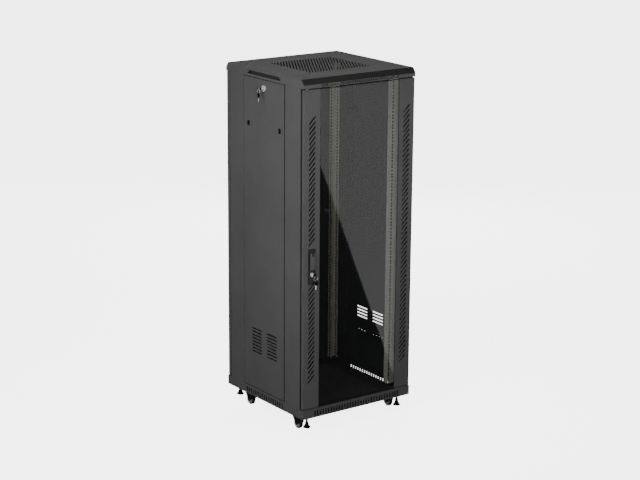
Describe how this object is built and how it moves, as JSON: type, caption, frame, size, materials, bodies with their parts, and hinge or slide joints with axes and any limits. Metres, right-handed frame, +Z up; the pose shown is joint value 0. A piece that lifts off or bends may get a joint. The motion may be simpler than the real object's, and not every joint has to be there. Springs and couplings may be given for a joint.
{
  "type": "network server rack cabinet",
  "caption": "Enclosed free-standing 19-inch equipment cabinet with a glazed front door between vented stiles, swing handle, lockable side panels, rails, casters and levelling feet.",
  "frame": {"origin": "on the floor under the middle of the cabinet", "axes": "+X to the cabinet's right as seen from the front, +Y to its rear, +Z up"},
  "size_m": [0.6806, 0.6766, 1.59],
  "materials": {
    "paint": "fine textured matt powder coat, dark charcoal grey",
    "dark_paint": "satin black lacquer on the sloped front strip",
    "zinc": "galvanised, faintly olive, with a fine dull grain",
    "glass": "smoked tempered safety glass, glossy",
    "black_plastic": "fine grained black",
    "chrome": "bright nickel plated lock faces",
    "steel": "plated keys, spindle and caster metalwork",
    "tyre": "black wheel with a smooth tread"
  },
  "bodies": {
    "cabinet": {"base_beam_front": "paint", "base_beam_rear": "paint", "base_beam_left": "paint", "base_beam_right": "paint", "floor_panel": "paint", "cable_entry_cover": "paint", "post_front_left": "paint", "post_front_right": "paint", "post_rear_left": "paint", "post_rear_right": "paint", "top_cover": "paint", "front_header": "paint", "header_trim": "dark_paint", "rail_front_left": "zinc", "rail_front_right": "zinc", "rail_rear_left": "zinc", "rail_rear_right": "zinc", "depth_bar_left_lower": "paint", "depth_bar_left_upper": "paint", "depth_bar_right_lower": "paint", "depth_bar_right_upper": "paint", "caster_plate_front_left": "steel", "caster_plate_front_right": "steel", "caster_plate_rear_left": "steel", "caster_plate_rear_right": "steel"},
    "front_door": {"door_stile_left": "paint", "door_stile_right": "paint", "door_glass": "glass", "handle_dish": "paint"},
    "handle_spindle": {"handle_spindle": "steel"},
    "handle_lever": {"handle_lever": "paint"},
    "front_lock": {"front_lock": "chrome", "front_key": "steel"},
    "front_spare_key": {"front_spare_key": "steel"},
    "rear_door": {"rear_door": "paint"},
    "rear_lock": {"rear_lock": "chrome", "rear_key": "steel"},
    "side_panel_left": {"side_panel_left": "paint"},
    "side_lock_left": {"side_lock_left": "chrome", "side_key_left": "steel"},
    "side_latch_left_front": {"side_latch_left_front": "black_plastic"},
    "side_latch_left_rear": {"side_latch_left_rear": "black_plastic"},
    "side_panel_right": {"side_panel_right": "paint"},
    "side_lock_right": {"side_lock_right": "chrome", "side_key_right": "steel"},
    "side_latch_right_front": {"side_latch_right_front": "black_plastic"},
    "side_latch_right_rear": {"side_latch_right_rear": "black_plastic"},
    "side_spare_key_left": {"side_spare_key_left": "steel"},
    "caster_front_left": {"caster_fork_front_left": "steel"},
    "wheel_front_left": {"caster_wheel_front_left": "tyre"},
    "foot_front_left": {"levelling_foot_front_left": "black_plastic"},
    "caster_front_right": {"caster_fork_front_right": "steel"},
    "wheel_front_right": {"caster_wheel_front_right": "tyre"},
    "foot_front_right": {"levelling_foot_front_right": "black_plastic"},
    "caster_rear_left": {"caster_fork_rear_left": "steel"},
    "wheel_rear_left": {"caster_wheel_rear_left": "tyre"},
    "foot_rear_left": {"levelling_foot_rear_left": "black_plastic"},
    "caster_rear_right": {"caster_fork_rear_right": "steel"},
    "wheel_rear_right": {"caster_wheel_rear_right": "tyre"},
    "foot_rear_right": {"levelling_foot_rear_right": "black_plastic"}
  },
  "joints": [
    {"name": "front_door_hinge", "type": "hinge", "parent": "cabinet", "child": "front_door", "pos_m": [0.289, -0.29, 0.121], "axis": [0, 0, 1], "range_deg": [0, 115]},
    {"name": "handle_turn", "type": "hinge", "parent": "front_door", "child": "handle_spindle", "pos_m": [-0.2555, -0.3, 0.829], "axis": [0, -1, 0], "range_deg": [0, 90]},
    {"name": "lever_lift", "type": "hinge", "parent": "handle_spindle", "child": "handle_lever", "pos_m": [-0.2555, -0.3069, 0.829], "axis": [-1, 0, 0], "range_deg": [0, 35]},
    {"name": "front_lock_turn", "type": "hinge", "parent": "front_door", "child": "front_lock", "pos_m": [-0.2555, -0.305, 0.736], "axis": [0, -1, 0], "range_deg": [0, 90]},
    {"name": "front_spare_key_swing", "type": "hinge", "parent": "front_lock", "child": "front_spare_key", "pos_m": [-0.2555, -0.331, 0.7242], "axis": [0, -1, 0], "range_deg": [-90, 0]},
    {"name": "rear_door_hinge", "type": "hinge", "parent": "cabinet", "child": "rear_door", "pos_m": [-0.289, 0.29, 0.121], "axis": [0, 0, 1], "range_deg": [0, 115]},
    {"name": "rear_lock_turn", "type": "hinge", "parent": "rear_door", "child": "rear_lock", "pos_m": [0.258, 0.3, 0.83], "axis": [0, 1, 0], "range_deg": [0, 90]},
    {"name": "side_panel_left_off", "type": "slide", "parent": "cabinet", "child": "side_panel_left", "axis": [-1, 0, 0], "range_m": [0, 0.12]},
    {"name": "side_lock_left_turn", "type": "hinge", "parent": "side_panel_left", "child": "side_lock_left", "pos_m": [-0.3, 0, 1.5116], "axis": [1, 0, 0], "range_deg": [0, 90]},
    {"name": "side_latch_left_front_press", "type": "slide", "parent": "side_panel_left", "child": "side_latch_left_front", "axis": [0, 1, 0], "range_m": [0, 0.008], "stiffness_N_per_m": 150, "springref_m": -0.004},
    {"name": "side_latch_left_rear_press", "type": "slide", "parent": "side_panel_left", "child": "side_latch_left_rear", "axis": [0, -1, 0], "range_m": [0, 0.008], "stiffness_N_per_m": 150, "springref_m": -0.004},
    {"name": "side_panel_right_off", "type": "slide", "parent": "cabinet", "child": "side_panel_right", "axis": [1, 0, 0], "range_m": [0, 0.12]},
    {"name": "side_lock_right_turn", "type": "hinge", "parent": "side_panel_right", "child": "side_lock_right", "pos_m": [0.3, 0, 1.5116], "axis": [1, 0, 0], "range_deg": [0, 90]},
    {"name": "side_latch_right_front_press", "type": "slide", "parent": "side_panel_right", "child": "side_latch_right_front", "axis": [0, 1, 0], "range_m": [0, 0.008], "stiffness_N_per_m": 150, "springref_m": -0.004},
    {"name": "side_latch_right_rear_press", "type": "slide", "parent": "side_panel_right", "child": "side_latch_right_rear", "axis": [0, -1, 0], "range_m": [0, 0.008], "stiffness_N_per_m": 150, "springref_m": -0.004},
    {"name": "side_spare_key_left_swing", "type": "hinge", "parent": "side_lock_left", "child": "side_spare_key_left", "pos_m": [-0.333, -0.00772, 1.50488], "axis": [1, 0, 0], "range_deg": [-90, 0]},
    {"name": "caster_front_left_swivel", "type": "hinge", "parent": "cabinet", "child": "caster_front_left", "pos_m": [-0.254, -0.19, 0.07], "axis": [0, 0, 1], "continuous": true},
    {"name": "wheel_front_left_spin", "type": "hinge", "parent": "caster_front_left", "child": "wheel_front_left", "pos_m": [-0.254, -0.204, 0.025], "axis": [1, 0, 0], "continuous": true},
    {"name": "foot_front_left_down", "type": "slide", "parent": "cabinet", "child": "foot_front_left", "axis": [0, 0, -1], "range_m": [0, 0.022]},
    {"name": "caster_front_right_swivel", "type": "hinge", "parent": "cabinet", "child": "caster_front_right", "pos_m": [0.254, -0.19, 0.07], "axis": [0, 0, 1], "continuous": true},
    {"name": "wheel_front_right_spin", "type": "hinge", "parent": "caster_front_right", "child": "wheel_front_right", "pos_m": [0.254, -0.204, 0.025], "axis": [1, 0, 0], "continuous": true},
    {"name": "foot_front_right_down", "type": "slide", "parent": "cabinet", "child": "foot_front_right", "axis": [0, 0, -1], "range_m": [0, 0.022]},
    {"name": "caster_rear_left_swivel", "type": "hinge", "parent": "cabinet", "child": "caster_rear_left", "pos_m": [-0.254, 0.19, 0.07], "axis": [0, 0, 1], "continuous": true},
    {"name": "wheel_rear_left_spin", "type": "hinge", "parent": "caster_rear_left", "child": "wheel_rear_left", "pos_m": [-0.254, 0.176, 0.025], "axis": [1, 0, 0], "continuous": true},
    {"name": "foot_rear_left_down", "type": "slide", "parent": "cabinet", "child": "foot_rear_left", "axis": [0, 0, -1], "range_m": [0, 0.022]},
    {"name": "caster_rear_right_swivel", "type": "hinge", "parent": "cabinet", "child": "caster_rear_right", "pos_m": [0.254, 0.19, 0.07], "axis": [0, 0, 1], "continuous": true},
    {"name": "wheel_rear_right_spin", "type": "hinge", "parent": "caster_rear_right", "child": "wheel_rear_right", "pos_m": [0.254, 0.176, 0.025], "axis": [1, 0, 0], "continuous": true},
    {"name": "foot_rear_right_down", "type": "slide", "parent": "cabinet", "child": "foot_rear_right", "axis": [0, 0, -1], "range_m": [0, 0.022]}
  ],
  "couplings": [
    {"joint": "front_spare_key_swing", "follows": "front_lock_turn", "ratio": -1},
    {"joint": "side_spare_key_left_swing", "follows": "side_lock_left_turn", "ratio": -1}
  ]
}
